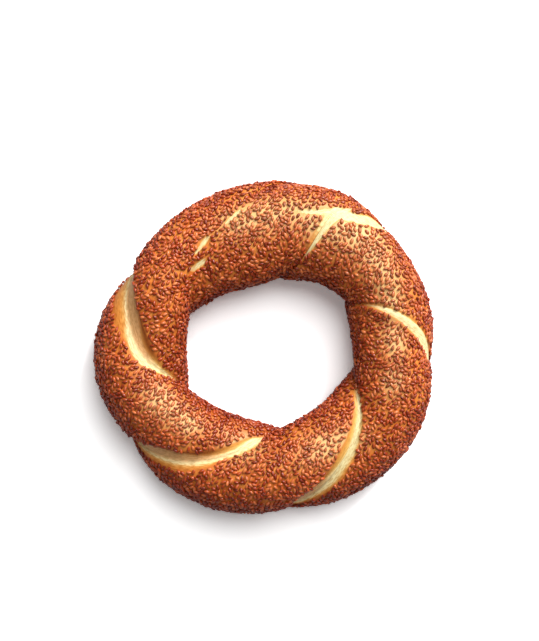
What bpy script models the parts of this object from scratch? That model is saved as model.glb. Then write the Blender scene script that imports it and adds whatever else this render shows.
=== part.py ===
"""A simit: a bread ring of two strands of dough, twisted round each other and baked.

The model starts as a plain torus. Each of its vertices knows two things from where it lies: its ring
angle, and its share of the way round the section. Functions then move it to the twisted ring, so that
two of the torus's long lines lie exactly in the two creases between the strands.
Angles are in degrees and grow counterclockwise seen from above, from 0 at +X.
"""

import bpy
import numpy as np

MM = 0.001

# The ring.
MEAN_RADIUS = 61.35 * MM
# How the hand-rolled ring strays from a circle: waves a turn, height of the wave, ring angle of its top.
RADIUS_WAVES = (
    (2, 2.5 * MM, 18),
    (3, 1.7 * MM, 62),
    (4, 0.6 * MM, -27),
    (5, 0.4 * MM, -21),
    (6, 0.25 * MM, -3),
)
# How much thicker or thinner the rope is along the ring, as a share of its width.
WIDTH_WAVES = (
    (1, 0.013, 82),
    (2, 0.057, 96),
    (3, 0.043, -31),
    (4, 0.028, -5),
)

# The section: two lobes, one for each strand, that meet in two creases.
CREASE_REACH = 17.7 * MM  # from the middle of the section to the bottom of a crease
LOBE_ROUNDNESS = 0.75  # under 1 swells a lobe's shoulders, over 1 sharpens its crest
HEIGHT_RATIO = 0.86  # the baked section is lower than it is wide
CENTRE_HEIGHT = 16.5 * MM
SOLE_BLEND = 1.4 * MM  # half the height over which the round side turns into the flat sole

# Where the creases pass over the top, clockwise. A row is one pass. It gives the ring angles at which
# the crease is at these angles of the section: 180 is the hole side, 90 the top and 0 the outer side.
PASS_ANGLES = (180, 120, 60, 0)
FIRST_CREASE = (
    (-83, -104, -129, -146),
    (-203, -219, -248, -276),
    (-326, -334, -347, -362),
)
SECOND_CREASE = (
    (-14, -32, -62, -84),
    (-157, -171, -194, -211),
    (-281, -290, -295, -314),
)
# How far each strand's crest reaches from the middle of the section, at the ring angles where the strand
# passes underneath. In between, on top, its reach eases from one of these to the next.
FIRST_STRAND = ((153, 22.9 * MM), (43, 21.2 * MM), (-81, 23.5 * MM))
SECOND_STRAND = ((97, 23.8 * MM), (-13, 23.3 * MM), (-149, 24.2 * MM))
# Where the two ends of the rope were pressed together, the creases have nearly closed.
JOIN_ANGLE = 78
JOIN_SPREAD = 65
JOIN_FILL = 0.65  # share of a crease's depth that is filled at the middle of the join

RING_STEPS = 144
SECTION_STEPS = 32

CRUST_COLOR = (0.42, 0.15, 0.035, 1.0)
CRUST_ROUGHNESS = 0.55


def waves(ring_angle, table):
    """The sum of cosine waves round the ring."""
    return sum(
        height * np.cos(np.radians(count * (ring_angle - top)))
        for count, height, top in table
    )


def smooth_curve(known_x, known_y, x):
    """A curve through the known points that rises or falls only where they do."""
    step = np.diff(known_x)
    slope = np.diff(known_y) / step
    before = 2 * step[1:] + step[:-1]
    after = step[1:] + 2 * step[:-1]
    tangent = np.concatenate((
        slope[:1],
        (before + after) / (before / slope[:-1] + after / slope[1:]),
        slope[-1:],
    ))
    at = np.clip(np.searchsorted(known_x, x) - 1, 0, len(step) - 1)
    t = (x - known_x[at]) / step[at]
    return (
        known_y[at] * (1 + 2 * t) * (1 - t) ** 2
        + tangent[at] * step[at] * t * (1 - t) ** 2
        + known_y[at + 1] * t * t * (3 - 2 * t)
        + tangent[at + 1] * step[at] * t * t * (t - 1)
    )


def crease_angle(ring_angle, passes):
    """The angle of the section at which a crease lies. It turns once round the section for each pass."""
    ring, section = [], []
    for lap in range(3):
        for index, row in enumerate(passes):
            ring += [angle + 360 * lap for angle in row]
            turns = 360 * (len(passes) * lap - index)
            section += [angle + turns for angle in PASS_ANGLES]
    order = np.argsort(ring)
    return smooth_curve(np.array(ring, float)[order], np.array(section, float)[order], ring_angle)


def strand_reach(ring_angle, strand):
    """The crest's reach, eased from each known ring angle to the next, all round the ring."""
    known = sorted((angle % 360, reach) for angle, reach in strand)
    known = [(known[-1][0] - 360, known[-1][1])] + known + [(known[0][0] + 360, known[0][1])]
    angles, reaches = np.array(known).T
    at = np.clip(np.searchsorted(angles, ring_angle) - 1, 0, len(angles) - 2)
    t = (ring_angle - angles[at]) / (angles[at + 1] - angles[at])
    ease = 0.5 - 0.5 * np.cos(np.pi * t)
    return reaches[at] * (1 - ease) + reaches[at + 1] * ease


def join_fill(ring_angle):
    """How far the creases are filled: most at the join, and nothing away from it."""
    away = np.abs((ring_angle - JOIN_ANGLE + 180) % 360 - 180) / JOIN_SPREAD
    return np.where(away < 1, JOIN_FILL * (0.5 + 0.5 * np.cos(np.pi * away)), 0.0)


def sole(height):
    """Lowers the round side into a flat sole at height 0, over a short smooth stretch."""
    rolled = (height + SOLE_BLEND) ** 2 / (4 * SOLE_BLEND)
    return np.where(height > SOLE_BLEND, height, np.where(height < -SOLE_BLEND, 0.0, rolled))


def twisted_ring(ring_angle, share):
    """The points of the ring's surface. The share runs once round the section, from the first crease."""
    first = crease_angle(ring_angle, FIRST_CREASE)
    first_width = (crease_angle(ring_angle, SECOND_CREASE) - first) % 360
    in_first = share < 0.5
    t = np.where(in_first, 2 * share, 2 * share - 1)
    section_angle = first + np.where(
        in_first, first_width * t, first_width + (360 - first_width) * t
    )
    crest = np.where(
        in_first, strand_reach(ring_angle, FIRST_STRAND), strand_reach(ring_angle, SECOND_STRAND)
    )
    crease = CREASE_REACH + (crest - CREASE_REACH) * join_fill(ring_angle)
    swell = np.sin(np.pi * t).clip(0, 1) ** LOBE_ROUNDNESS
    reach = crease + (crest - crease) * swell
    width = 1 + waves(ring_angle, WIDTH_WAVES)
    across = reach * width * np.cos(np.radians(section_angle))
    up = reach * HEIGHT_RATIO * np.sin(np.radians(section_angle))
    radius = MEAN_RADIUS + waves(ring_angle, RADIUS_WAVES) + across
    return np.stack(
        (
            radius * np.cos(np.radians(ring_angle)),
            radius * np.sin(np.radians(ring_angle)),
            sole(CENTRE_HEIGHT + up),
        ),
        axis=-1,
    )


def clear_scene():
    for obj in list(bpy.data.objects):
        bpy.data.objects.remove(obj, do_unlink=True)


def crust_material():
    material = bpy.data.materials.new("sesame_crust")
    material.use_nodes = True
    shader = material.node_tree.nodes["Principled BSDF"]
    shader.inputs["Base Color"].default_value = CRUST_COLOR
    shader.inputs["Roughness"].default_value = CRUST_ROUGHNESS
    shader.inputs["Metallic"].default_value = 0.0
    return material


def make_simit(collection):
    bpy.ops.mesh.primitive_torus_add(
        major_segments=RING_STEPS,
        minor_segments=SECTION_STEPS,
        major_radius=MEAN_RADIUS,
        minor_radius=CREASE_REACH,
    )
    ring = bpy.context.object
    ring.name = ring.data.name = "simit_ring"
    for other in ring.users_collection:
        other.objects.unlink(ring)
    collection.objects.link(ring)

    plain = np.array([vertex.co for vertex in ring.data.vertices])
    ring_angle = np.degrees(np.arctan2(plain[:, 1], plain[:, 0])) % 360
    across = np.hypot(plain[:, 0], plain[:, 1]) - MEAN_RADIUS
    share = np.arctan2(plain[:, 2], across) / (2 * np.pi) % 1
    share = np.round(share * SECTION_STEPS) / SECTION_STEPS % 1
    points = twisted_ring(ring_angle, share)
    middle = (points.min(axis=0) + points.max(axis=0)) / 2
    points[:, :2] -= middle[:2]
    ring.data.vertices.foreach_set("co", points.ravel())
    ring.data.materials.append(crust_material())
    ring.data.shade_smooth()
    ring.data.update()

    facets = ring.modifiers.new("facets", "TRIANGULATE")
    facets.quad_method = "SHORTEST_DIAGONAL"
    return ring


def main():
    clear_scene()
    collection = bpy.data.collections.new("simit")
    bpy.context.scene.collection.children.link(collection)
    make_simit(collection)


main()
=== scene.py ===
# %% [markdown]
# # A simit
# A simit is a bread ring. A baker rolls two strands of dough, twists them round each other, closes
# the rope to a ring, dips it in grape molasses and then in sesame seeds, and bakes it until it is
# deep brown. While it bakes the dough swells, and the crust tears open along the creases.
# This notebook dresses the plain solid of that ring: first the dough with its tears, then some
# thousands of sesame seeds, then the colours, the light and the camera.

# %% Load the fixed frame
import math

import bmesh
import bpy
import numpy as np
from mathutils import Matrix, Vector
from mathutils.kdtree import KDTree


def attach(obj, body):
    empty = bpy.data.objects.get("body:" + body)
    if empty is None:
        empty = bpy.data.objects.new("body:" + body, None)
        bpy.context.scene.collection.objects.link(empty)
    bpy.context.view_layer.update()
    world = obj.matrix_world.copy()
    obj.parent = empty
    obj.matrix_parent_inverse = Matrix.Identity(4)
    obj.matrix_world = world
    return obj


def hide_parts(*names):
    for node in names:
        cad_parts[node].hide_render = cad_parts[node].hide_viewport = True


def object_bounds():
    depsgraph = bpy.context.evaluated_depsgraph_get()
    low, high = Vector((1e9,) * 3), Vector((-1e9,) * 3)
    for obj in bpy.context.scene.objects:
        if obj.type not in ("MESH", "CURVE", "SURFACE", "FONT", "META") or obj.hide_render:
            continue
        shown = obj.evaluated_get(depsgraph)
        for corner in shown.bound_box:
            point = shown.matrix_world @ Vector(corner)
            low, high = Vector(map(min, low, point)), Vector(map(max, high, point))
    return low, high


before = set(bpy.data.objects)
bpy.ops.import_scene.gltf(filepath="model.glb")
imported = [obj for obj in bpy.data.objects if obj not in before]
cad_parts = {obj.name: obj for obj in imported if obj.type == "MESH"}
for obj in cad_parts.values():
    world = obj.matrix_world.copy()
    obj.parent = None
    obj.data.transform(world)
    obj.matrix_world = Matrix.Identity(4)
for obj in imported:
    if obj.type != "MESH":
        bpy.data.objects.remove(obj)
cad_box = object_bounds()
print("solid:", [tuple(round(1000 * value, 1) for value in corner) for corner in cad_box], "mm")

# %% [markdown]
# ## The shape of the rope
# The solid was made by one formula, and the dough follows the same one, so both agree everywhere.
# A point of the surface is named by two numbers. The ring angle says how far round the ring it lies.
# The share says how far round the section it lies, from the first crease (0) over the first strand to
# the second crease (0.5), and over the second strand back to the start.

# %% Driving sizes of the ring
MM = 0.001
MEAN_RADIUS = 61.35 * MM
# Waves a turn, height of the wave, ring angle of its top.
RADIUS_WAVES = (
    (2, 2.5 * MM, 18), (3, 1.7 * MM, 62), (4, 0.6 * MM, -27), (5, 0.4 * MM, -21), (6, 0.25 * MM, -3),
)
WIDTH_WAVES = ((1, 0.013, 82), (2, 0.057, 96), (3, 0.043, -31), (4, 0.028, -5))
CREASE_REACH = 17.7 * MM
LOBE_ROUNDNESS = 0.75
HEIGHT_RATIO = 0.86
CENTRE_HEIGHT = 16.5 * MM
SOLE_BLEND = 1.4 * MM
PASS_ANGLES = (180, 120, 60, 0)
FIRST_CREASE = ((-83, -104, -129, -146), (-203, -219, -248, -276), (-326, -334, -347, -362))
SECOND_CREASE = ((-14, -32, -62, -84), (-157, -171, -194, -211), (-281, -290, -295, -314))
FIRST_STRAND = ((153, 22.9 * MM), (43, 21.2 * MM), (-81, 23.5 * MM))
SECOND_STRAND = ((97, 23.8 * MM), (-13, 23.3 * MM), (-149, 24.2 * MM))
JOIN_ANGLE = 78
JOIN_SPREAD = 65
JOIN_FILL = 0.65


# %% Curves that run round the ring
def waves(ring_angle, table):
    """The sum of cosine waves round the ring."""
    return sum(height * np.cos(np.radians(count * (ring_angle - top))) for count, height, top in table)


def smooth_curve(known_x, known_y, x):
    """A curve through the known points that rises or falls only where they do."""
    step = np.diff(known_x)
    slope = np.diff(known_y) / step
    before = 2 * step[1:] + step[:-1]
    after = step[1:] + 2 * step[:-1]
    inner = (before + after) / (before / slope[:-1] + after / slope[1:])
    tangent = np.concatenate((slope[:1], inner, slope[-1:]))
    at = np.clip(np.searchsorted(known_x, x) - 1, 0, len(step) - 1)
    t = (x - known_x[at]) / step[at]
    return (
        known_y[at] * (1 + 2 * t) * (1 - t) ** 2
        + tangent[at] * step[at] * t * (1 - t) ** 2
        + known_y[at + 1] * t * t * (3 - 2 * t)
        + tangent[at + 1] * step[at] * t * t * (t - 1)
    )


def crease_angle(ring_angle, passes):
    """The angle of the section at which a crease lies. It turns once round the section for each pass."""
    ring, section = [], []
    for lap in range(3):
        for index, row in enumerate(passes):
            ring += [angle + 360 * lap for angle in row]
            turns = 360 * (len(passes) * lap - index)
            section += [angle + turns for angle in PASS_ANGLES]
    order = np.argsort(ring)
    return smooth_curve(np.array(ring, float)[order], np.array(section, float)[order], ring_angle)


def strand_reach(ring_angle, strand):
    """The crest's reach, eased from each known ring angle to the next, all round the ring."""
    known = sorted((angle % 360, reach) for angle, reach in strand)
    known = [(known[-1][0] - 360, known[-1][1])] + known + [(known[0][0] + 360, known[0][1])]
    angles, reaches = np.array(known).T
    at = np.clip(np.searchsorted(angles, ring_angle) - 1, 0, len(angles) - 2)
    t = (ring_angle - angles[at]) / (angles[at + 1] - angles[at])
    ease = 0.5 - 0.5 * np.cos(np.pi * t)
    return reaches[at] * (1 - ease) + reaches[at + 1] * ease


def join_fill(ring_angle):
    """How far the creases are filled: most at the join, and nothing away from it."""
    away = np.abs((ring_angle - JOIN_ANGLE + 180) % 360 - 180) / JOIN_SPREAD
    return np.where(away < 1, JOIN_FILL * (0.5 + 0.5 * np.cos(np.pi * away)), 0.0)


def sole(height):
    """Lowers the round side into a flat sole at height 0, over a short smooth stretch."""
    rolled = (height + SOLE_BLEND) ** 2 / (4 * SOLE_BLEND)
    return np.where(height > SOLE_BLEND, height, np.where(height < -SOLE_BLEND, 0.0, rolled))


# %% Points on the surface
def strand_widths(ring_angle):
    """The section angle of the first crease, and the width of the first strand."""
    first = crease_angle(ring_angle, FIRST_CREASE)
    return first, (crease_angle(ring_angle, SECOND_CREASE) - first) % 360


def section_angle(ring_angle, share):
    """The angle of the section for a share of the way round it."""
    first, width = strand_widths(ring_angle)
    return first + np.where(share < 0.5, 2 * share * width, width + (2 * share - 1) * (360 - width))


def share_at(ring_angle, angle):
    """The share for an angle of the section: the other way round."""
    first, width = strand_widths(ring_angle)
    turned = (angle - first) % 360
    return np.where(turned < width, turned / width / 2, 0.5 + (turned - width) / (360 - width) / 2)


def twisted_ring(ring_angle, share):
    """The points of the ring's surface, before the ring is centred."""
    in_first = share < 0.5
    t = np.where(in_first, 2 * share, 2 * share - 1)
    crest = np.where(
        in_first, strand_reach(ring_angle, FIRST_STRAND), strand_reach(ring_angle, SECOND_STRAND)
    )
    crease = CREASE_REACH + (crest - CREASE_REACH) * join_fill(ring_angle)
    swell = np.sin(np.pi * t).clip(0, 1) ** LOBE_ROUNDNESS
    reach = crease + (crest - crease) * swell
    angle = np.radians(section_angle(ring_angle, share))
    across = reach * (1 + waves(ring_angle, WIDTH_WAVES)) * np.cos(angle)
    up = reach * HEIGHT_RATIO * np.sin(angle)
    radius = MEAN_RADIUS + waves(ring_angle, RADIUS_WAVES) + across
    turn = np.radians(ring_angle)
    return np.stack((radius * np.cos(turn), radius * np.sin(turn), sole(CENTRE_HEIGHT + up)), axis=-1)


SOLID_STEPS = (144, 32)
solid_ring, solid_share = np.meshgrid(
    np.arange(SOLID_STEPS[0]) * 360 / SOLID_STEPS[0], np.arange(SOLID_STEPS[1]) / SOLID_STEPS[1]
)
solid_points = twisted_ring(solid_ring.ravel(), solid_share.ravel())
CENTRE = (solid_points.min(axis=0) + solid_points.max(axis=0)) / 2 * (1, 1, 0)
misfit = np.abs((solid_points - CENTRE).max(axis=0) - np.array(cad_box[1])).max()
print("formula and solid differ by", round(1000 * misfit, 3), "mm")

# %% [markdown]
# ## The dough
# The dough could be sculpted by hand, but its shape is already known. So a plain circle of vertices is
# spun into a torus, which gives an even grid that closes on itself, and each vertex is then moved to
# its place on the rope. The grid lines crowd together at the creases, where the tears need them.
# The dough lies a little under the surface of the solid, because the seeds stand out from it.

# %% Spin a torus
RING_STEPS = 640
SECTION_STEPS = 144
CROWDING = 0.6
SEED_STAND = 0.65 * MM


def plain_torus(name):
    """A torus of one circle of vertices, spun once round the Z axis."""
    bm = bmesh.new()
    bmesh.ops.create_circle(bm, segments=SECTION_STEPS, radius=CREASE_REACH)
    stand = Matrix.Translation((MEAN_RADIUS, 0, 0)) @ Matrix.Rotation(math.pi / 2, 4, "X")
    bmesh.ops.transform(bm, matrix=stand, verts=bm.verts)
    circle = bm.verts[:] + bm.edges[:]
    bmesh.ops.spin(
        bm, geom=circle, axis=(0, 0, 1), angle=2 * math.pi, steps=RING_STEPS, use_merge=True
    )
    bmesh.ops.recalc_face_normals(bm, faces=bm.faces)
    mesh = bpy.data.meshes.new(name)
    bm.to_mesh(mesh)
    bm.free()
    return mesh


def vertex_places(mesh):
    flat = np.empty(3 * len(mesh.vertices), np.float32)
    mesh.vertices.foreach_get("co", flat)
    return flat.reshape(-1, 3).astype(float)


def vertex_normals(mesh):
    flat = np.empty(3 * len(mesh.vertices), np.float32)
    mesh.vertex_normals.foreach_get("vector", flat)
    return flat.reshape(-1, 3).astype(float)


dough_mesh = plain_torus("dough_skin")
plain = vertex_places(dough_mesh)
print("torus of", len(plain), "vertices")

# %% Move it to the rope
vertex_ring = np.degrees(np.arctan2(plain[:, 1], plain[:, 0])) % 360
vertex_ring = np.round(vertex_ring * RING_STEPS / 360) * 360 / RING_STEPS % 360
around = np.arctan2(plain[:, 2], np.hypot(plain[:, 0], plain[:, 1]) - MEAN_RADIUS)
vertex_share = np.round(around / (2 * np.pi) * SECTION_STEPS) / SECTION_STEPS % 1
vertex_share = vertex_share - CROWDING * np.sin(4 * np.pi * vertex_share) / (4 * np.pi)
vertex_section = section_angle(vertex_ring, vertex_share)


def place(mesh, points):
    mesh.vertices.foreach_set("co", points.astype(np.float32).ravel())
    mesh.update()


outer_points = twisted_ring(vertex_ring, vertex_share) - CENTRE
place(dough_mesh, outer_points)
outward = vertex_normals(dough_mesh)
dough_points = outer_points - SEED_STAND * outward
place(dough_mesh, dough_points)
print("dough from", dough_points.min(axis=0).round(4), "to", dough_points.max(axis=0).round(4))

# %% [markdown]
# ## The tears
# In the oven the crust sets before the dough has finished swelling, so it tears along the creases and
# shows the pale crumb under it. A tear is a band along a path. Across the band come, from its smooth
# side to its steep side: an orange margin, bare cream dough, a stretched tan floor and the brown lip
# of the strand that rose over it; the tan and the brown are partly painted shade. Each row of a tear
# says where these borders lie at one ring angle.

# %% Rows of the deep tears
# Three creases tore deep. Ring angle, then five borders in mm across the path (negative on the smooth
# side), then the depth in mm.
FIRST, SECOND = 0.0, 0.5
DEEP_TEARS = {
    "left": (SECOND, (
        (-158, -0.1, 0.0, 0.1, 0.2, 0.4, 0.0),
        (-162, -1.0, 0.0, 0.1, 0.2, 1.6, 0.1),
        (-165, -1.4, -0.1, 0.2, 0.4, 2.4, 0.2),
        (-168, -1.5, -0.6, 0.9, 1.5, 3.2, 0.4),
        (-172, -2.3, -1.8, 1.0, 2.4, 4.2, 0.8),
        (-176, -4.7, -4.0, 0.4, 2.5, 5.2, 1.2),
        (-180, -5.1, -4.1, 0.0, 2.6, 6.4, 1.5),
        (-184, -5.0, -3.5, -0.2, 3.4, 7.0, 1.9),
        (-188, -5.7, -3.0, -0.2, 4.6, 7.2, 2.2),
        (-192, -6.8, -1.2, -0.4, 5.4, 7.8, 2.4),
        (-196, -7.4, -0.9, -0.5, 6.2, 8.0, 2.4),
        (-200, -7.8, -0.8, -0.5, 6.8, 8.2, 2.2),
        (-204, -8.0, -1.0, -0.7, 7.4, 8.6, 1.8),
        (-208, -8.0, -2.0, -1.4, 7.0, 8.2, 1.3),
        (-212, -6.4, -3.8, -1.0, 5.2, 6.6, 0.9),
        (-216, -3.0, -2.0, -0.6, 2.6, 3.8, 0.7),
        (-220, -0.2, -0.1, 0.0, 0.1, 0.2, 0.4),
    )),
    "lower_left": (FIRST, (
        (-92, -0.1, 0.0, 0.1, 0.2, 0.3, 0.0),
        (-95, -0.6, -0.3, 0.8, 1.2, 1.8, 0.2),
        (-98, -3.2, -2.0, 2.4, 3.0, 3.6, 0.3),
        (-101, -3.4, -1.2, 2.8, 3.6, 4.6, 0.4),
        (-104, -1.8, -1.0, 2.4, 3.2, 5.2, 0.5),
        (-108, -0.9, -0.6, 1.9, 2.6, 5.6, 0.7),
        (-112, -0.8, -0.5, 1.8, 2.4, 5.4, 0.9),
        (-116, -1.4, -0.9, 1.0, 2.3, 5.4, 1.1),
        (-120, -4.0, -1.6, 0.4, 2.4, 4.9, 1.3),
        (-124, -4.6, -2.0, 0.0, 2.8, 4.7, 1.5),
        (-128, -5.6, -2.1, -0.3, 3.8, 5.3, 1.8),
        (-132, -5.0, -1.8, -0.4, 5.0, 6.4, 2.0),
        (-136, -3.9, -1.3, -0.4, 6.6, 7.6, 2.0),
        (-140, -3.7, -1.1, -0.4, 7.2, 8.2, 1.8),
        (-144, -3.6, -1.1, -0.4, 6.6, 7.6, 1.3),
        (-148, -2.0, -1.0, -0.4, 3.2, 4.2, 0.6),
        (-151, -0.2, -0.1, 0.0, 0.1, 0.2, 0.0),
    )),
    "lower_right": (SECOND, (
        (-20, -0.1, 0.0, 0.1, 0.2, 0.3, 0.0),
        (-23, -0.4, -0.1, 0.6, 1.0, 2.0, 0.1),
        (-28, -0.6, -0.3, 1.0, 1.5, 3.0, 0.3),
        (-32, -0.7, -0.3, 1.2, 1.7, 3.4, 0.3),
        (-36, -1.3, -0.5, 1.3, 1.9, 3.8, 0.4),
        (-40, -1.6, -0.7, 1.6, 2.3, 4.3, 0.5),
        (-44, -2.0, -1.1, 1.3, 2.0, 4.8, 0.6),
        (-48, -2.6, -1.9, 1.1, 1.8, 4.8, 0.6),
        (-52, -3.8, -2.5, 0.8, 1.4, 5.2, 0.6),
        (-56, -3.9, -2.3, 0.8, 1.3, 5.0, 0.6),
        (-60, -4.0, -1.9, 0.9, 1.7, 4.5, 0.7),
        (-64, -4.4, -2.2, 1.2, 2.8, 4.8, 0.9),
        (-68, -3.8, -1.8, 0.6, 4.0, 5.6, 1.1),
        (-72, -3.0, -1.2, 0.0, 6.0, 7.4, 1.3),
        (-76, -2.2, -1.0, 0.0, 7.0, 8.0, 1.3),
        (-80, -2.2, -1.0, 0.0, 6.4, 7.4, 1.2),
        (-84, -1.4, -0.8, 0.0, 3.0, 4.0, 1.0),
        (-88, -0.2, -0.1, 0.0, 0.1, 0.2, 0.7),
    )),
}

# %% Rows of the shallow tears
# Ring angle, both borders in mm across the crease, and the depth in mm.
CREASE_TEARS = {
    "right": (FIRST, (
        (-331, 0.4, 0.6, 0.0), (-334, 0.0, 1.5, 0.1), (-337, -0.3, 2.3, 0.2), (-340, -0.4, 3.2, 0.3),
        (-344, -0.4, 4.2, 0.3), (-348, -0.2, 5.4, 0.3), (-352, -0.1, 6.6, 0.3), (-356, -0.5, 7.8, 0.3),
        (-360, -1.0, 8.4, 0.3), (-364, -1.6, 6.6, 0.3), (-369, 0.0, 0.2, 0.0),
    )),
    "upper_fork": (SECOND, (
        (-288.5, 0.2, 0.4, 0.0), (-290, -0.8, 1.8, 0.2), (-291, -1.2, 2.6, 0.3), (-292, -1.6, 3.4, 0.4),
        (-293, -2.0, 4.0, 0.4), (-294, -2.4, 4.6, 0.4), (-295, -2.8, 5.2, 0.4), (-296, -3.0, 5.8, 0.4),
        (-298, -1.0, 3.6, 0.3), (-301, 0.0, 0.2, 0.0),
    )),
}
# The same for tears away from the creases, with the section angle of the path in the second column.
FREE_TEARS = {
    "upper_right": (
        (82, 67, 0.2, 0.4, 0.0), (78, 67, -1.0, 1.7, 0.2), (75, 67, -1.5, 2.1, 0.3),
        (72, 66, -1.7, 2.2, 0.3), (68, 63, -2.3, 2.6, 0.4), (64, 59, -3.0, 3.8, 0.5),
        (60, 55, -2.8, 4.0, 0.5), (56, 50, -3.2, 3.8, 0.5), (52, 44, -6.8, 2.4, 0.5),
        (49, 40, -8.2, 0.8, 0.4), (46, 34, -8.6, -1.0, 0.3), (43, 29, -7.4, -2.6, 0.2),
        (41, 25, -4.2, -4.0, 0.0),
    ),
    "upper_left": (
        (136, 101, 0.4, 0.5, 0.0), (134, 100, -0.1, 2.4, 0.2), (130, 97, -0.3, 3.4, 0.3),
        (127, 96, 0.0, 3.3, 0.3), (124, 94, 0.8, 1.6, 0.0),
    ),
    "upper_left_outer": (
        (129, 86, 0.3, 0.4, 0.0), (127, 83, -0.6, 1.8, 0.3), (124, 79, -0.7, 2.0, 0.4),
        (121, 75, -1.2, 1.9, 0.4), (119, 72, -0.8, 1.5, 0.3), (115, 69, 0.2, 0.3, 0.0),
    ),
    "upper_left_crest": (
        (112, 68, 0.2, 0.3, 0.0), (108, 63, -1.2, 1.9, 0.3), (105, 58, -1.2, 2.2, 0.3),
        (103, 54, -1.0, 1.9, 0.3), (101, 51, -0.6, 1.4, 0.2), (98, 49, 0.2, 0.3, 0.0),
    ),
}
TEAR_SAMPLES = 260
REACH_OF_TEAR = 14 * MM
print(len(DEEP_TEARS) + len(CREASE_TEARS) + len(FREE_TEARS), "tears")


# %% Where each vertex lies in a tear
def tear_path(start, rows):
    """The tear's points on the surface, and for each its angles, its borders and depth, and its way out."""
    rows = np.array(rows, float)
    ring = np.linspace(rows[0, 0], rows[-1, 0], TEAR_SAMPLES)
    forward = np.argsort(rows[:, 0])
    values = np.stack([np.interp(ring, rows[forward, 0], column[forward]) for column in rows.T[1:]])
    if start is None:
        section, values = values[0], values[1:]
        share = share_at(ring % 360, section)
    else:
        share = np.full(TEAR_SAMPLES, start)
        section = section_angle(ring % 360, share)
    points = twisted_ring(ring % 360, share) - CENTRE
    flat = np.cos(np.radians(section))
    opening = np.stack((
        flat * np.cos(np.radians(ring)), flat * np.sin(np.radians(ring)), np.sin(np.radians(section)),
    ), axis=-1)
    return points, ring, section, values * MM, opening


def lay_tear(points, path):
    """For each vertex near the tear: its index, its place along and across, the rows' values, the way out."""
    path_points, ring, section, values, opening = path
    tree = KDTree(len(path_points))
    for index, point in enumerate(path_points):
        tree.insert(point, index)
    tree.balance()
    low = path_points.min(axis=0) - REACH_OF_TEAR
    high = path_points.max(axis=0) + REACH_OF_TEAR
    near = np.flatnonzero(((points > low) & (points < high)).all(axis=1))
    found = [tree.find(points[index])[1:] for index in near]
    nearest = np.array([item[0] for item in found])
    distance = np.array([item[1] for item in found])
    close = distance < REACH_OF_TEAR
    near, nearest, distance = near[close], nearest[close], distance[close]
    run = np.concatenate(([0], np.cumsum(np.linalg.norm(np.diff(path_points, axis=0), axis=1))))
    order = np.argsort(ring)
    ring_near = (vertex_ring[near] - ring.min() + 60) % 360 + ring.min() - 60
    path_section = np.interp(ring_near, ring[order], np.unwrap(section[order], period=360))
    side = np.sign((vertex_section[near] - path_section + 180) % 360 - 180)
    return near, run[nearest], side * distance, values[:, nearest], opening[nearest]


print("first path has", len(tear_path(*DEEP_TEARS["left"])[0]), "points")

# %% [markdown]
# Each vertex gets a zone from -1 to 1: its place between the borders, whatever their widths are. One
# profile then serves all deep tears. A deep tear slopes down on its smooth side and climbs to the lip
# on the other. A shallow one only ever shows the first part, from both edges. The floor sinks straight
# back into the crease, so that the strand beside it cannot hide it. In two creases the dough swelled
# up instead, nearly level with the strands.

# %% Sink the tears
ZONES = (-1.0, -0.5, 0.0, 0.5, 1.0)
DEEP_ZONE = (-1.0, -0.5, 0.0, 0.25, 0.5, 0.7, 0.85, 1.0)
DEEP_SINK = (0.0, 0.1, 0.4, 0.8, 1.0, 0.6, 0.1, 0.0)
LIP_FADE = 1.6 * MM
SHALLOW_EDGE = 0.9 * MM
# In two creases the dough swelled nearly level with the strands: the crease, the middle and the width of
# the swelling in mm across it, and rows of ring angle and rise in mm.
SWELLINGS = (
    (FIRST, 1.0, 4.8, (
        (-370, 0.0), (-362, 0.4), (-356, 1.6), (-350, 2.8), (-344, 3.0), (-336, 2.6), (-330, 1.2), (-324, 0.0),
    )),
    (SECOND, 0.0, 3.2, ((-304, 0.0), (-298, 0.8), (-294, 1.3), (-290, 1.2), (-286, 0.6), (-282, 0.0))),
)
SHALLOW_ZONES = 0.72
# The depth at which the bare dough of a tear starts to turn tan, and at which it is all tan: the tan is
# partly painted shade on the sunk floor.
TAN_DEPTHS = (0.7 * MM, 1.3 * MM)
FULL_DEPTH = 0.3 * MM  # a tear shallower than this fades into the crust
EDGE_SOFTNESS = 0.5 * MM

tear_zone = np.full(len(plain), -1.0)
tear_gap = np.full(len(plain), REACH_OF_TEAR)
tear_deep = np.zeros(len(plain))
tear_strength = np.zeros(len(plain))
tear_along = np.zeros(len(plain))
tear_across = np.zeros(len(plain))
sink = np.zeros(len(plain))
way_out = outward.copy()


def zone_of(across, borders):
    """The place between the five borders, from -1 to 1."""
    zone = np.where(across < borders[0], -1.0, 1.0)
    for low, high, start, end in zip(borders[:-1], borders[1:], ZONES[:-1], ZONES[1:]):
        inside = (across >= low) & (across < high)
        part = (across - low) / np.maximum(high - low, 1e-6)
        zone = np.where(inside, start + part * (end - start), zone)
    return zone


def mark_tear(near, along, across, borders, depth, opening, zone, sunk):
    """Writes a tear into the vertices that lie deeper in it than in any tear before."""
    gap = np.maximum(borders[0] - across, across - borders[-1])
    deeper = np.abs(sunk) > np.abs(sink[near])
    sink[near[deeper]] = sunk[deeper]
    way_out[near[deeper]] = opening[deeper]
    nearer = gap < tear_gap[near]
    chosen = near[nearer]
    tear_gap[chosen] = gap[nearer]
    tear_zone[chosen] = zone[nearer]
    tear_deep[chosen] = np.interp(depth[nearer], TAN_DEPTHS, (0, 1))
    tear_strength[chosen] = (depth[nearer] / FULL_DEPTH).clip(0, 1)
    tear_along[chosen] = along[nearer]
    tear_across[chosen] = across[nearer]


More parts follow.
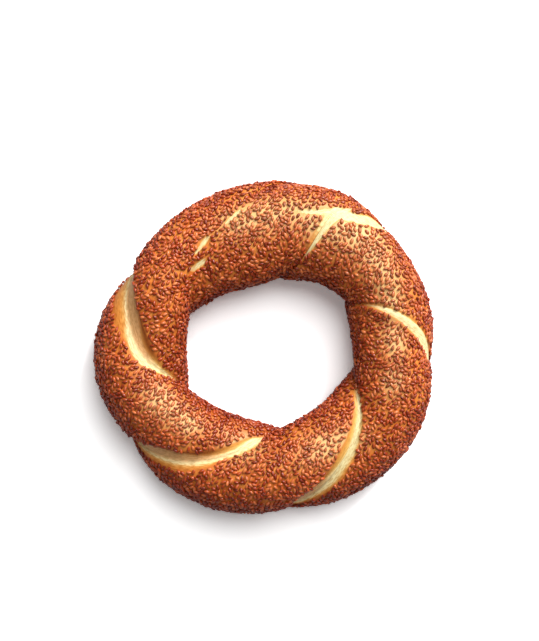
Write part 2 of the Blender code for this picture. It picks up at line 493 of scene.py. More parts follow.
for start, rows in DEEP_TEARS.values():
    near, along, across, values, opening = lay_tear(outer_points, tear_path(start, rows))
    borders, depth = values[:5], values[5]
    zone = zone_of(across, borders)
    fade = np.exp(-np.maximum(across - borders[4], 0) / LIP_FADE)
    sunk = depth * fade * np.interp(zone, DEEP_ZONE, DEEP_SINK)
    mark_tear(near, along, across, borders, depth, opening, zone, sunk)

for start, rows in list(CREASE_TEARS.values()) + [(None, rows) for rows in FREE_TEARS.values()]:
    near, along, across, values, opening = lay_tear(outer_points, tear_path(start, rows))
    borders, depth = values[:2], values[2]
    within = np.minimum(across - borders[0], borders[1] - across)
    part = np.clip(within / SHALLOW_EDGE, 0, 1)
    sunk = depth * part * part * (3 - 2 * part)
    mark_tear(near, along, across, borders, depth, opening, SHALLOW_ZONES * part - 1, sunk)

rise = np.zeros(len(plain))
way_up = outward.copy()
for start, middle, width, rows in SWELLINGS:
    near, along, across, values, opening = lay_tear(outer_points, tear_path(start, rows))
    swelled = values[0] * np.exp(-(((across - middle * MM) / (width * MM)) ** 2))
    higher = swelled > rise[near]
    rise[near[higher]] = swelled[higher]
    way_up[near[higher]] = opening[higher]

tear_open = tear_strength * np.clip(0.5 - tear_gap / (2 * EDGE_SOFTNESS), 0, 1)
dough_points = dough_points - sink[:, None] * way_out + rise[:, None] * way_up
place(dough_mesh, dough_points)
print("bare dough on", int((tear_open > 0.5).sum()), "vertices, deepest", round(1000 * sink.max(), 2), "mm")

# %% [markdown]
# ## Pale and dark crust
# The crests of the strands are stretched most, and there the crust stays pale between the seeds; this
# paleness is also a painted highlight where the crests face the light. The flanks and the underside turn
# darker, partly from baking and partly as painted shade, strongest on the side away from the lamps. Both
# are kept as attributes of the vertices, one number each, so that the material can read them and the
# seeds can thin out where the crust is stretched.

# %% Mark the pale crests, the browning and the painted shade
# Ring angle, section angle, length and width of each pale patch in mm.
PALE_PATCHES = (
    (206, 103, 13, 8), (222, 112, 9, 6), (254, 120, 14, 7), (299, 104, 15, 8), (314, 96, 8, 6),
    (5, 90, 11, 7), (346, 88, 8, 6), (47, 72, 20, 11), (66, 78, 12, 9), (90, 68, 20, 9), (104, 66, 10, 6),
    (25, 80, 12, 8),
)
LIT_SIDE = math.radians(60)  # the lamps shine from this ring angle; outer flanks that face away from it get painted shade
AWAY_SHADE = 0.5
FAR_SIDE_SHADE = 0.28  # and painted shade darkens the whole half of the ring on the far side from it
FLANK_ROAST_AND_SHADE = 0.90
vertex_normal = vertex_normals(dough_mesh)


def bump_at(ring_angle, angle, length, width):
    """1 at a place of the surface, falling off to nothing at its length and width."""
    along = (vertex_ring - ring_angle + 180) % 360 - 180
    around_section = (vertex_section - angle + 180) % 360 - 180
    along = np.radians(along) * MEAN_RADIUS / (length * MM)
    around_section = np.radians(around_section) * CREASE_REACH / (width * MM)
    return np.exp(-1.4 * (along**2 + around_section**2))


# paleness: stretched crust, and a painted highlight where the crest tops face the light
paleness = sum(bump_at(*patch) for patch in PALE_PATCHES).clip(0, 1)
turn = np.radians(vertex_ring)
facing_out = (vertex_normal[:, 0] * np.cos(turn) + vertex_normal[:, 1] * np.sin(turn)).clip(0, 1)
away = -vertex_normal[:, :2] @ (math.cos(LIT_SIDE), math.sin(LIT_SIDE))
far_side = -np.cos(turn - LIT_SIDE)
# steep flanks darker, partly from baking and partly painted shade, plus painted shade on the side away from
# the lamps
roast_and_shade = FLANK_ROAST_AND_SHADE - vertex_normal[:, 2] + AWAY_SHADE * away * facing_out + FAR_SIDE_SHADE * far_side
roast_and_shade = roast_and_shade.clip(0, 1)


def store(mesh, name, values):
    layer = mesh.attributes.new(name, "FLOAT", "POINT")
    layer.data.foreach_set("value", values.astype(np.float32))


store(dough_mesh, "tear_zone", tear_zone)
store(dough_mesh, "tear_open", tear_open)
store(dough_mesh, "tear_deep", tear_deep)
store(dough_mesh, "tear_along", tear_along / MM)
store(dough_mesh, "tear_across", tear_across / MM)
store(dough_mesh, "paleness", paleness)
store(dough_mesh, "roast_and_shade", roast_and_shade)
dough_mesh.shade_smooth()
dough = bpy.data.objects.new("dough_skin", dough_mesh)
bpy.context.scene.collection.objects.link(dough)
print("pale crust on", int((paleness > 0.4).sum()), "vertices")

# %% [markdown]
# ## One sesame seed
# A hulled sesame seed is a flat drop, 3 mm long, with one blunt and one pointed end. Some thousands
# of them are needed, so the pattern seed has only a few dozen faces: a coarse sphere, drawn out to a
# drop by moving its vertices. Smooth shading hides the facets at this size. Two numbers stored on it
# tell the finish where the tip and the foot of a seed are.

# %% Make the pattern seed
SEED_HALF = Vector((1.52 * MM, 0.84 * MM, 0.64 * MM))
SEED_TAPER = 0.26


def pattern_seed(name):
    """A drop-shaped seed along X, its pointed end at +X."""
    bm = bmesh.new()
    bmesh.ops.create_uvsphere(bm, u_segments=8, v_segments=6, radius=1)
    bmesh.ops.rotate(bm, matrix=Matrix.Rotation(math.pi / 2, 3, "Y"), verts=bm.verts)
    for vertex in bm.verts:
        along = vertex.co.x
        narrowing = 1 - SEED_TAPER * along - 0.12 * along**2
        vertex.co.y *= narrowing
        vertex.co.z *= 0.5 + 0.5 * narrowing
    bmesh.ops.scale(bm, vec=SEED_HALF, verts=bm.verts)
    bmesh.ops.recalc_face_normals(bm, faces=bm.faces)
    mesh = bpy.data.meshes.new(name)
    bm.to_mesh(mesh)
    bm.free()
    mesh.shade_smooth()
    places = vertex_places(mesh)
    store(mesh, "tip", places[:, 0] / (2 * SEED_HALF.x) + 0.5)
    # 1 from the middle of the seed down: where the finish paints shade at its foot
    store(mesh, "foot_shade", 1 - (places[:, 2] / SEED_HALF.z).clip(0, 1))
    return bpy.data.objects.new(name, mesh)


seed_pattern = pattern_seed("seed_pattern")
print("pattern seed:", len(seed_pattern.data.polygons), "faces")

# %% [markdown]
# ## Scattering the seeds
# The ring was rolled in seeds, so they lie nearly shoulder to shoulder, but never all in one place.
# Points drawn at random would clump, so each point is kept only if no kept one is too close. That
# smallest distance grows where the crust is stretched, and a tear holds none at all.

# %% Draw candidate places
rng = np.random.default_rng(7)
CANDIDATES = 120_000


def surface_samples(mesh, count):
    """Random places on the mesh: for each, three vertices and their weights."""
    mesh.calc_loop_triangles()
    corners = np.empty(3 * len(mesh.loop_triangles), np.int32)
    mesh.loop_triangles.foreach_get("vertices", corners)
    corners = corners.reshape(-1, 3)
    points = vertex_places(mesh)[corners]
    area = np.linalg.norm(np.cross(points[:, 1] - points[:, 0], points[:, 2] - points[:, 0]), axis=1) / 2
    picked = np.searchsorted(np.cumsum(area), rng.random(count) * area.sum())
    u, v = rng.random((2, count))
    u, v = np.where(u + v > 1, (1 - u, 1 - v), (u, v))
    return corners[picked], np.stack((1 - u - v, u, v), axis=1), area.sum()


def blend(values, corners, weights):
    """The values at places between the vertices."""
    picked = values[corners]
    return np.einsum("nk,nk...->n...", weights, picked)


corners, weights, dough_area = surface_samples(dough_mesh, CANDIDATES)
place_at = blend(dough_points, corners, weights)
normal_at = blend(vertex_normal, corners, weights)
normal_at /= np.linalg.norm(normal_at, axis=1, keepdims=True)
gap_at = blend(tear_gap, corners, weights)
pale_at = blend(paleness, corners, weights)
print("dough surface", round(dough_area * 1e4), "cm2")

# %% Keep those that have room
DENSE_SPACING = 1.64 * MM
PALE_SPACING = 0.18 * MM
PATCHY_SPACING = 0.34 * MM
TEAR_CLEARANCE = 0.35 * MM
THIN_BESIDE_TEAR = 1.4 * MM


def slow_noise(points, size, seed):
    """A smooth value from -1 to 1 that changes over about that size: a few sine waves in odd directions."""
    source = np.random.default_rng(seed)
    total = np.zeros(len(points))
    for _ in range(8):
        direction = source.normal(size=3)
        direction *= 2 * np.pi / (size * np.linalg.norm(direction)) * source.uniform(0.6, 1.5)
        total += np.sin(points @ direction + source.uniform(0, 2 * np.pi))
    return (total / 4).clip(-1, 1)


beside_tear = np.exp(-np.maximum(gap_at - TEAR_CLEARANCE, 0) / THIN_BESIDE_TEAR)
spacing_at = (
    DENSE_SPACING
    + PALE_SPACING * pale_at
    + PATCHY_SPACING * slow_noise(place_at, 16 * MM, 3).clip(0, 1)
    + 0.25 * MM * beside_tear * (slow_noise(place_at, 9 * MM, 4) > 0)
)
CELL = 3 * MM


def thin_out(points, spacing, allowed):
    """Indices of the points that keep their distance from all kept before them."""
    kept = []
    cells = {}
    keys = np.floor(points / CELL).astype(int)
    neighbours = [(x, y, z) for x in (-1, 0, 1) for y in (-1, 0, 1) for z in (-1, 0, 1)]
    for index in np.flatnonzero(allowed):
        x, y, z = keys[index]
        place_here = points[index]
        room = spacing[index] ** 2
        crowded = False
        for i, j, k in neighbours:
            for other in cells.get((x + i, y + j, z + k), ()):
                away = place_here - points[other]
                if away @ away < room:
                    crowded = True
                    break
            if crowded:
                break
        if not crowded:
            cells.setdefault((x, y, z), []).append(index)
            kept.append(index)
    return np.array(kept)


kept = thin_out(place_at, spacing_at, gap_at > TEAR_CLEARANCE)
print(len(kept), "seeds,", round(len(kept) / (dough_area * 1e6), 3), "a square mm")

# %% [markdown]
# Each seed then needs a heading. Seeds that fell on top of each other slid apart in rolling, so of a
# few random headings the one is taken whose two ends come least close to the neighbours. They also
# sink into the dough by different amounts, lean a little, and a few ride up on their neighbours.

# %% Turn, lean and sink them
HEADINGS = 7
PITCH = math.radians(9)
ROLL = math.radians(22)
SEED_LIFT = (0.26 * MM, 0.56 * MM)
RIDING_SHARE = 0.14
RIDING_LIFT = 0.35 * MM
RIDING_TILT = 1.8
RESTING_HEIGHT = 1.8 * MM
RESTING_LIFT = 0.1 * MM
TONE_CLUMPS = 0.22

seed_place = place_at[kept]
seed_normal = normal_at[kept]
count = len(kept)


def unit(vectors):
    return vectors / np.linalg.norm(vectors, axis=-1, keepdims=True)


def free_headings(points, normals):
    """For each seed a direction in the surface that keeps its ends away from the seeds near it."""
    side = unit(np.cross(normals, rng.normal(size=normals.shape)))
    other = np.cross(normals, side)
    tree = KDTree(len(points))
    for index, point in enumerate(points):
        tree.insert(point, index)
    tree.balance()
    turns = rng.uniform(0, 2 * np.pi, (len(points), HEADINGS))
    chosen = np.zeros((len(points), 3))
    along_seed = (-0.8 * SEED_HALF.x, 0, 0.8 * SEED_HALF.x)
    for index, point in enumerate(points):
        near = [item[1] for item in tree.find_n(point, 7)[1:]]
        angles = turns[index][:, None]
        directions = np.cos(angles) * side[index] + np.sin(angles) * other[index]
        ends = np.concatenate((point + SEED_HALF.x * directions, point - SEED_HALF.x * directions))
        rivals = np.concatenate([points[near] + reach * chosen[near] for reach in along_seed])
        gaps = np.linalg.norm(ends[:, None] - rivals[None], axis=2).min(axis=1)
        chosen[index] = directions[gaps.reshape(2, HEADINGS).min(axis=0).argmax()]
    return chosen


heading = free_headings(seed_place, seed_normal)
riding = (rng.random(count) < RIDING_SHARE) & (seed_place[:, 2] > RESTING_HEIGHT)
resting = seed_place[:, 2] < RESTING_HEIGHT
lean = rng.normal(0, 1, (count, 2)).clip(-2, 2) * (PITCH, ROLL) * np.where(riding, RIDING_TILT, 1)[:, None]
lean[resting] = 0
lift = rng.uniform(*SEED_LIFT, count) + RIDING_LIFT * riding
lift[resting] = RESTING_LIFT
sideways = np.cross(seed_normal, heading)
leaned_normal = unit(seed_normal + np.sin(lean[:, :1]) * heading + np.sin(lean[:, 1:]) * sideways)
leaned_heading = unit(heading - leaned_normal * np.sum(heading * leaned_normal, axis=1, keepdims=True))
seed_place = seed_place + lift[:, None] * seed_normal
seed_size = rng.normal(1, 0.07, count).clip(0.82, 1.16)
leaned_side = np.cross(leaned_normal, leaned_heading)
axes_down = np.stack((leaned_heading[:, 2], leaned_side[:, 2], leaned_normal[:, 2]), axis=1)
half_height = np.linalg.norm(axes_down * np.array(SEED_HALF), axis=1) * seed_size
seed_place[:, 2] = np.maximum(seed_place[:, 2], half_height)
seed_tone = (rng.random(count) + TONE_CLUMPS * slow_noise(seed_place, 8 * MM, 5)).clip(0, 1)
seed_roast_and_shade = blend(roast_and_shade, corners, weights)[kept]
seed_paleness = blend(paleness, corners, weights)[kept]
print(int(riding.sum()), "seeds ride on others,", int(resting.sum()), "lie under the ring")

# %% [markdown]
# ## Joined meshes of seeds
# The seeds are sorted into four kinds by how far they have browned, one mesh for each, because each
# kind has its own finish. Geometry Nodes put the pattern seed on every point and make the copies
# real. That is faster than copying in Python, and the points carry each seed's turn, size and tone.

# %% Node tree that sets seeds on points
KINDS = (
    ("sesame_dark", 0.25),
    ("sesame_brown", 0.26),
    ("sesame_amber", 0.26),
    ("sesame_golden", 0.23),
)


def seeding_nodes(pattern):
    """Geometry nodes: the pattern seed on each point, turned by 'turn' and sized by 'size'."""
    tree = bpy.data.node_groups.new("set_seeds", "GeometryNodeTree")
    tree.interface.new_socket("Geometry", in_out="INPUT", socket_type="NodeSocketGeometry")
    tree.interface.new_socket("Geometry", in_out="OUTPUT", socket_type="NodeSocketGeometry")
    source = tree.nodes.new("NodeGroupInput")
    result = tree.nodes.new("NodeGroupOutput")
    points = tree.nodes.new("GeometryNodeMeshToPoints")
    pick = tree.nodes.new("GeometryNodeObjectInfo")
    pick.inputs["Object"].default_value = pattern
    turn = tree.nodes.new("GeometryNodeInputNamedAttribute")
    turn.data_type = "FLOAT_VECTOR"
    turn.inputs["Name"].default_value = "turn"
    to_rotation = tree.nodes.new("FunctionNodeEulerToRotation")
    size = tree.nodes.new("GeometryNodeInputNamedAttribute")
    size.data_type = "FLOAT"
    size.inputs["Name"].default_value = "size"
    copies = tree.nodes.new("GeometryNodeInstanceOnPoints")
    real = tree.nodes.new("GeometryNodeRealizeInstances")
    links = tree.links
    links.new(source.outputs[0], points.inputs["Mesh"])
    links.new(points.outputs[0], copies.inputs["Points"])
    links.new(pick.outputs["Geometry"], copies.inputs["Instance"])
    links.new(turn.outputs["Attribute"], to_rotation.inputs[0])
    links.new(to_rotation.outputs[0], copies.inputs["Rotation"])
    links.new(size.outputs["Attribute"], copies.inputs["Scale"])
    links.new(copies.outputs[0], real.inputs[0])
    links.new(real.outputs[0], result.inputs[0])
    return tree


seeding = seeding_nodes(seed_pattern)
print("seeding tree has", len(seeding.nodes), "nodes")


# %% Set the seeds
def turn_of(x_axis, z_axis):
    """The Euler turn that brings X and Z to these axes."""
    y_axis = np.cross(z_axis, x_axis)
    return Matrix(np.stack((x_axis, y_axis, z_axis), axis=1)).to_euler()


def seed_piece(name, chosen):
    """One joined mesh of the chosen seeds."""
    mesh = bpy.data.meshes.new(name + "_points")
    mesh.from_pydata(seed_place[chosen].tolist(), [], [])
    turns = np.array([turn_of(leaned_heading[i], leaned_normal[i]) for i in chosen])
    layer = mesh.attributes.new("turn", "FLOAT_VECTOR", "POINT")
    layer.data.foreach_set("vector", turns.astype(np.float32).ravel())
    store(mesh, "size", seed_size[chosen])
    store(mesh, "tone", seed_tone[chosen])
    store(mesh, "roast_and_shade", seed_roast_and_shade[chosen])
    store(mesh, "paleness", seed_paleness[chosen])
    holder = bpy.data.objects.new(name, mesh)
    bpy.context.scene.collection.objects.link(holder)
    modifier = holder.modifiers.new("set_seeds", "NODES")
    modifier.node_group = seeding
    evaluated = holder.evaluated_get(bpy.context.evaluated_depsgraph_get())
    joined = bpy.data.meshes.new_from_object(evaluated)
    joined.name = name
    holder.modifiers.clear()
    holder.data = joined
    bpy.data.meshes.remove(mesh)
    return holder


kind_of = rng.choice(len(KINDS), size=count, p=[share for _, share in KINDS])
seeds = {}
for index, (name, _) in enumerate(KINDS):
    seeds[name] = seed_piece(name, np.flatnonzero(kind_of == index))
    triangles = sum(len(face.vertices) - 2 for face in seeds[name].data.polygons)
    print(name, int((kind_of == index).sum()), "seeds,", triangles, "triangles")

# %% [markdown]
# ## Finishes
# Crust and seeds share one effect: the oven browns them unevenly, in blotches of a few millimetres
# with finer grain inside. It is built once as a node group that puts out a mask, and each material
# mixes its own colours with it.


# %% Node helpers
def add_node(tree, kind, **settings):
    """A new node with some of its settings or inputs given."""
    node = tree.nodes.new(kind)
    for key, value in settings.items():
        if hasattr(node, key):
            setattr(node, key, value)
        else:
            node.inputs[key.replace("_", " ")].default_value = value
    return node


def attribute_node(tree, name):
    return add_node(tree, "ShaderNodeAttribute", attribute_name=name).outputs["Fac"]


def mix_colors(tree, factor, first, second, mode="MIX"):
    """A colour mix. Each argument is a socket or a plain value."""
    node = tree.nodes.new("ShaderNodeMix")
    node.data_type = "RGBA"
    node.blend_type = mode
    node.clamp_factor = True
    for socket, value in ((0, factor), (6, first), (7, second)):
        if isinstance(value, bpy.types.NodeSocket):
            tree.links.new(value, node.inputs[socket])
        elif isinstance(value, tuple):
            node.inputs[socket].default_value = (*value, 1.0)
        else:
            node.inputs[socket].default_value = value
    return node.outputs[2]


def math_node(tree, operation, first, second=0.0, clamp=False):
    """A math node. Each argument is a socket or a number."""
    node = tree.nodes.new("ShaderNodeMath")
    node.operation = operation
    node.use_clamp = clamp
    for index, value in enumerate((first, second)):
        if isinstance(value, bpy.types.NodeSocket):
            tree.links.new(value, node.inputs[index])
        else:
            node.inputs[index].default_value = value
    return node.outputs[0]


def color_ramp(tree, factor, stops, blend_kind="LINEAR"):
    """A colour ramp with these stops: (position, colour)."""
    node = tree.nodes.new("ShaderNodeValToRGB")
    ramp = node.color_ramp
    ramp.interpolation = blend_kind
    while len(ramp.elements) < len(stops):
        ramp.elements.new(1.0)
    for element, (position, color) in zip(ramp.elements, stops):
        element.position = position
        element.color = (*color, 1.0)
    tree.links.new(factor, node.inputs["Fac"])
    return node.outputs["Color"]


def browning_group():
    """A shader node group: blotches with finer grain inside, as a mask from 0 to 1."""
    group = bpy.data.node_groups.new("oven_browning", "ShaderNodeTree")
    for name, kind, value in (
        ("Vector", "NodeSocketVector", None),
        ("Blotch", "NodeSocketFloat", 120.0),
        ("Grain", "NodeSocketFloat", 900.0),
        ("Contrast", "NodeSocketFloat", 1.5),
    ):
        socket = group.interface.new_socket(name, in_out="INPUT", socket_type=kind)
        if value is not None:
            socket.default_value = value
    group.interface.new_socket("Mask", in_out="OUTPUT", socket_type="NodeSocketFloat")
    group.interface.new_socket("Grain", in_out="OUTPUT", socket_type="NodeSocketFloat")
    source = group.nodes.new("NodeGroupInput")
    result = group.nodes.new("NodeGroupOutput")
    blotch = add_node(group, "ShaderNodeTexNoise", Detail=3.0, Roughness=0.55)
    grain = add_node(group, "ShaderNodeTexNoise", Detail=2.0, Roughness=0.6)
    for noise, size in ((blotch, "Blotch"), (grain, "Grain")):
        group.links.new(source.outputs["Vector"], noise.inputs["Vector"])
        group.links.new(source.outputs[size], noise.inputs["Scale"])
    both = math_node(group, "ADD", math_node(group, "MULTIPLY", blotch.outputs["Fac"], 0.75),
                     math_node(group, "MULTIPLY", grain.outputs["Fac"], 0.25))
    centred = math_node(group, "SUBTRACT", both, 0.5)
    strong = math_node(group, "MULTIPLY", centred, source.outputs["Contrast"])
    mask = math_node(group, "ADD", strong, 0.5, clamp=True)
    group.links.new(mask, result.inputs["Mask"])
    group.links.new(grain.outputs["Fac"], result.inputs["Grain"])
    return group


BROWNING = browning_group()


def browning(tree, blotch, grain, contrast):
    """Places the browning group, reading the piece's own Object coordinates."""
    coordinates = tree.nodes.new("ShaderNodeTexCoord")
    node = tree.nodes.new("ShaderNodeGroup")
    node.node_tree = BROWNING
    tree.links.new(coordinates.outputs["Object"], node.inputs["Vector"])
    node.inputs["Blotch"].default_value = blotch
    node.inputs["Grain"].default_value = grain
    node.inputs["Contrast"].default_value = contrast
    return node.outputs["Mask"], node.outputs["Grain"]


def new_material(name):
    material = bpy.data.materials.new(name)
    material.use_nodes = True
    return material, material.node_tree, material.node_tree.nodes["Principled BSDF"]


def add_bump(tree, shader, height, strength, distance):
    bump = add_node(tree, "ShaderNodeBump", Strength=strength, Distance=distance)
    tree.links.new(height, bump.inputs["Height"])
    tree.links.new(bump.outputs["Normal"], shader.inputs["Normal"])


print("browning group has", len(BROWNING.nodes), "nodes")

# %% [markdown]
# ## The crust
# The crust is built up in layers. Orange dough is blotched with brown, the flanks are darker from
# baking and from painted shade, the stretched crests paler with a painted highlight, and last the tears
# lay their own colours over it. There is one row of colours for shallow tears and one for deep tears,
# whose floor is tan, partly as painted shade, and the depth mixes them.
# Fine fibres run along a tear, so that noise is stretched by the along and across attributes.

# %% Crust material
DOUGH_ORANGE = (0.74, 0.200, 0.030)
DOUGH_GOLD = (0.86, 0.31, 0.060)
DOUGH_BROWN = (0.36, 0.056, 0.007)
# the pale crest colour: stretched crust with a painted highlight
DOUGH_PALE = (0.92, 0.56, 0.22)
# Colours across a tear, from its smooth side (0) to its steep side (1). The tan floor and the dark
# brown lip of the deep tears are partly painted shade.
SHALLOW_COLORS = (
    (0.0, (0.74, 0.27, 0.045)),
    (0.12, (0.86, 0.41, 0.10)),
    (0.24, (0.92, 0.66, 0.26)),
    (0.34, (0.94, 0.82, 0.43)),
    (0.50, (0.94, 0.80, 0.42)),
    (0.64, (0.94, 0.70, 0.30)),
    (0.78, (0.92, 0.56, 0.16)),
    (0.90, (0.86, 0.39, 0.08)),
    (1.0, (0.68, 0.23, 0.04)),
)
DEEP_COLORS = (
    (0.0, (0.68, 0.22, 0.035)),
    (0.12, (0.80, 0.30, 0.055)),
    (0.20, (0.88, 0.42, 0.10)),
    (0.27, (0.95, 0.70, 0.32)),
    (0.34, (0.95, 0.77, 0.40)),
    (0.47, (0.93, 0.70, 0.35)),
    (0.53, (0.92, 0.53, 0.23)),
    (0.73, (0.90, 0.48, 0.19)),
    (0.80, (0.82, 0.36, 0.09)),
    (0.88, (0.50, 0.15, 0.024)),
    (1.0, (0.36, 0.075, 0.010)),
)


def crust_material():
    material, tree, shader = new_material("crust")
    mask, grain = browning(tree, 160.0, 1100.0, 2.4)
    base = color_ramp(tree, mask, ((0.0, DOUGH_BROWN), (0.35, DOUGH_ORANGE), (0.75, DOUGH_GOLD)))
    # flanks darkened towards brown: browning and painted shade
    roasted_and_shaded = mix_colors(tree, attribute_node(tree, "roast_and_shade"), base, DOUGH_BROWN)
    # pale crests: stretched crust and a painted highlight
    pale = mix_colors(tree, attribute_node(tree, "paleness"), roasted_and_shaded, DOUGH_PALE)

    along = math_node(tree, "MULTIPLY", attribute_node(tree, "tear_along"), 0.22)
    fibre_place = tree.nodes.new("ShaderNodeCombineXYZ")
    tree.links.new(attribute_node(tree, "tear_across"), fibre_place.inputs["X"])
    tree.links.new(along, fibre_place.inputs["Y"])
    fibres = add_node(tree, "ShaderNodeTexNoise", Scale=1.6, Detail=3.0, Roughness=0.6)
    tree.links.new(fibre_place.outputs[0], fibres.inputs["Vector"])
    shift = math_node(tree, "MULTIPLY", math_node(tree, "SUBTRACT", fibres.outputs["Fac"], 0.5), 0.16)
    zone = math_node(tree, "MULTIPLY", math_node(tree, "ADD", attribute_node(tree, "tear_zone"), 1.0), 0.5)
    shifted = math_node(tree, "ADD", zone, shift, clamp=True)
    shallow = color_ramp(tree, shifted, SHALLOW_COLORS)
    deep = color_ramp(tree, shifted, DEEP_COLORS)
    # deeper tears turn tan: partly painted shade on the sunk floor
    tear = mix_colors(tree, attribute_node(tree, "tear_deep"), shallow, deep)
    streaks = color_ramp(tree, fibres.outputs["Fac"], ((0.38, (0.68, 0.54, 0.40)), (0.56, (1.0, 1.0, 1.0))))
    tear = mix_colors(tree, 0.75, tear, streaks, mode="MULTIPLY")
    color = mix_colors(tree, attribute_node(tree, "tear_open"), pale, tear)
    tree.links.new(color, shader.inputs["Base Color"])
    shader.inputs["Roughness"].default_value = 0.42
    shader.inputs["Specular IOR Level"].default_value = 0.25
    height = math_node(tree, "ADD", grain, fibres.outputs["Fac"])
    add_bump(tree, shader, height, 0.35, 0.2 * MM)
    return material


dough_mesh.materials.append(crust_material())
print("crust laid on", dough.name)

# %% [markdown]
# ## The seeds' finish
# Molasses and heat give each seed a clear brown gloss, darker at its pointed end. Its foot, where it
# meets the dough, is darkened as painted shade. The numbers stored with each seed make it lighter or
# darker than the next one, paler on a stretched crest with a painted highlight, and darker on a flank
# from baking and painted shade, so no two are quite alike.

# %% Sesame materials
SESAME_COLORS = {
    "sesame_dark": (0.40, 0.052, 0.009),
    "sesame_brown": (0.55, 0.090, 0.017),
    "sesame_amber": (0.72, 0.155, 0.036),
    "sesame_golden": (0.86, 0.255, 0.076),
}
# seeds on the pale crests are lighter, partly as a painted highlight
SEED_PALE = (0.80, 0.36, 0.13)
SEED_TONES = ((0.0, (0.66, 0.58, 0.54)), (0.5, (1.0, 1.0, 1.0)), (1.0, (1.16, 1.18, 1.18)))
# the seed's darker colour as a share of its body: burnt parts, and painted shade on flanks and at the foot
BURNT_AND_SHADE_SHARE = (0.52, 0.26, 0.16)


def sesame_material(name):
    material, tree, shader = new_material(name)
    mask, grain = browning(tree, 260.0, 1600.0, 1.2)
    body = SESAME_COLORS[name]
    burnt_and_shade = tuple(share * channel for share, channel in zip(BURNT_AND_SHADE_SHARE, body))
    spread = mix_colors(tree, math_node(tree, "ADD", mask, 0.3, clamp=True), burnt_and_shade, body)
    # seeds on the flanks darker: browning and painted shade
    spread = mix_colors(tree, math_node(tree, "MULTIPLY", attribute_node(tree, "roast_and_shade"), 0.8), spread, burnt_and_shade)
    pale_share = math_node(tree, "MULTIPLY", attribute_node(tree, "paleness"), 0.4)
    spread = mix_colors(tree, pale_share, spread, SEED_PALE)
    tones = color_ramp(tree, attribute_node(tree, "tone"), SEED_TONES)
    toned = mix_colors(tree, 1.0, spread, tones, mode="MULTIPLY")
    tip = math_node(tree, "POWER", attribute_node(tree, "tip"), 3.0)
    tipped = mix_colors(tree, math_node(tree, "MULTIPLY", tip, 0.35), toned, burnt_and_shade)
    # painted shade at the seed's foot
    color = mix_colors(tree, math_node(tree, "MULTIPLY", attribute_node(tree, "foot_shade"), 0.7), tipped, burnt_and_shade)
    tree.links.new(color, shader.inputs["Base Color"])
    shader.inputs["Roughness"].default_value = 0.3
    shader.inputs["Specular IOR Level"].default_value = 0.5
    add_bump(tree, shader, grain, 0.2, 0.08 * MM)
    return material


for name, piece in seeds.items():
    piece.data.materials.clear()
    piece.data.materials.append(sesame_material(name))
print("finished", ", ".join(seeds))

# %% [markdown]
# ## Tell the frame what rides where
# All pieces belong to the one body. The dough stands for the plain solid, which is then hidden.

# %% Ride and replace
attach(dough, "root")
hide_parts("simit_ring")
for piece in seeds.values():
    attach(piece, "root")
print("pieces:", ["dough_skin", *seeds])

# %% [markdown]
# ## Studio
# The ring lies on a white table and is lit from the upper right. A wide lamp high up gives the soft
# glints, a smaller low one models the seeds and throws the short shadow, and a dim white sky fills the
# rest. A white table bright enough to look pure white would light the flanks too strongly. So the
# camera sees the table lifted, while the bread is lit by a plain one.

# %% Table, lamps and camera
CAMERA_AT = (2.86 * MM, 13.21 * MM)
LENS_MM = 100
SENSOR_MM = 36
VIEW_HEIGHT = 320.5 * MM
LAMPS = {
    # name: ring angle it shines from, height over the table in degrees, width in degrees, strength
    "wide_lamp": (60, 60, 42, 1.82),
    "low_lamp": (58, 29, 22, 3.25),
}
SKY_STRENGTH = 0.18
TABLE_WHITE = 0.6
LIFTED_WHITE = 1.7
TABLE_GLOW = 0.12


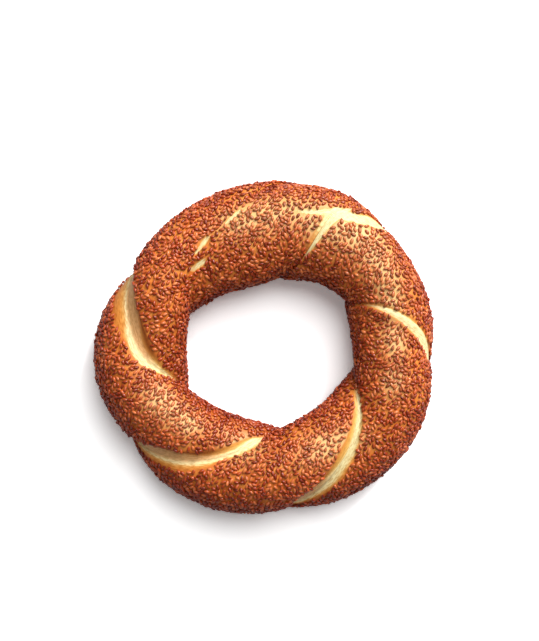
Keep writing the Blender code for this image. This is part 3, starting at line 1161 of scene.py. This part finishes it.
def white_table():
    """The table. The camera sees it lifted to pure white, while the bread gets a plain white one's light."""
    bm = bmesh.new()
    bmesh.ops.create_grid(bm, x_segments=1, y_segments=1, size=2.5)
    mesh = bpy.data.meshes.new("white_table")
    bm.to_mesh(mesh)
    bm.free()
    table = bpy.data.objects.new("white_table", mesh)
    bpy.context.scene.collection.objects.link(table)
    material, tree, shader = new_material("white_table")
    shader.inputs["Base Color"].default_value = (TABLE_WHITE, TABLE_WHITE, TABLE_WHITE, 1.0)
    shader.inputs["Roughness"].default_value = 0.9
    shader.inputs["Specular IOR Level"].default_value = 0.0
    lifted = add_node(tree, "ShaderNodeBsdfDiffuse", Color=(LIFTED_WHITE, LIFTED_WHITE, LIFTED_WHITE, 1.0))
    glow = add_node(tree, "ShaderNodeEmission", Strength=TABLE_GLOW)
    seen = tree.nodes.new("ShaderNodeAddShader")
    tree.links.new(lifted.outputs[0], seen.inputs[0])
    tree.links.new(glow.outputs[0], seen.inputs[1])
    path = tree.nodes.new("ShaderNodeLightPath")
    either = tree.nodes.new("ShaderNodeMixShader")
    tree.links.new(path.outputs["Is Camera Ray"], either.inputs[0])
    tree.links.new(shader.outputs[0], either.inputs[1])
    tree.links.new(seen.outputs[0], either.inputs[2])
    tree.links.new(either.outputs[0], tree.nodes["Material Output"].inputs["Surface"])
    mesh.materials.append(material)


def studio_lamp(name, ring_angle, height, width, strength):
    lamp = bpy.data.lights.new(name, "SUN")
    lamp.angle = math.radians(width)
    lamp.energy = strength
    flat = math.cos(math.radians(height))
    towards = Vector((
        flat * math.cos(math.radians(ring_angle)),
        flat * math.sin(math.radians(ring_angle)),
        math.sin(math.radians(height)),
    ))
    holder = bpy.data.objects.new(name, lamp)
    holder.location = towards
    holder.rotation_euler = towards.to_track_quat("Z", "Y").to_euler()
    bpy.context.scene.collection.objects.link(holder)


def white_sky():
    """A sky that lights the bread dimly, but that the camera sees as white as the table."""
    world = bpy.data.worlds.new("white_sky")
    world.use_nodes = True
    tree = world.node_tree
    background = tree.nodes["Background"]
    background.inputs["Color"].default_value = (1.0, 1.0, 1.0, 1.0)
    path = tree.nodes.new("ShaderNodeLightPath")
    strength = math_node(tree, "MAXIMUM", path.outputs["Is Camera Ray"], SKY_STRENGTH)
    tree.links.new(strength, background.inputs["Strength"])
    bpy.context.scene.world = world


def camera_above():
    view = bpy.data.cameras.new("camera")
    view.lens = LENS_MM
    view.sensor_width = SENSOR_MM
    holder = bpy.data.objects.new("camera", view)
    distance = VIEW_HEIGHT * LENS_MM / SENSOR_MM
    holder.location = (*CAMERA_AT, CENTRE_HEIGHT + distance)
    bpy.context.scene.collection.objects.link(holder)
    bpy.context.scene.camera = holder
    return distance


white_table()
for name, row in LAMPS.items():
    studio_lamp(name, *row)
white_sky()
view_distance = camera_above()
bpy.context.scene.view_settings.view_transform = "Standard"
bpy.context.scene.view_settings.look = "None"
print("camera", round(view_distance, 3), "m above the ring")
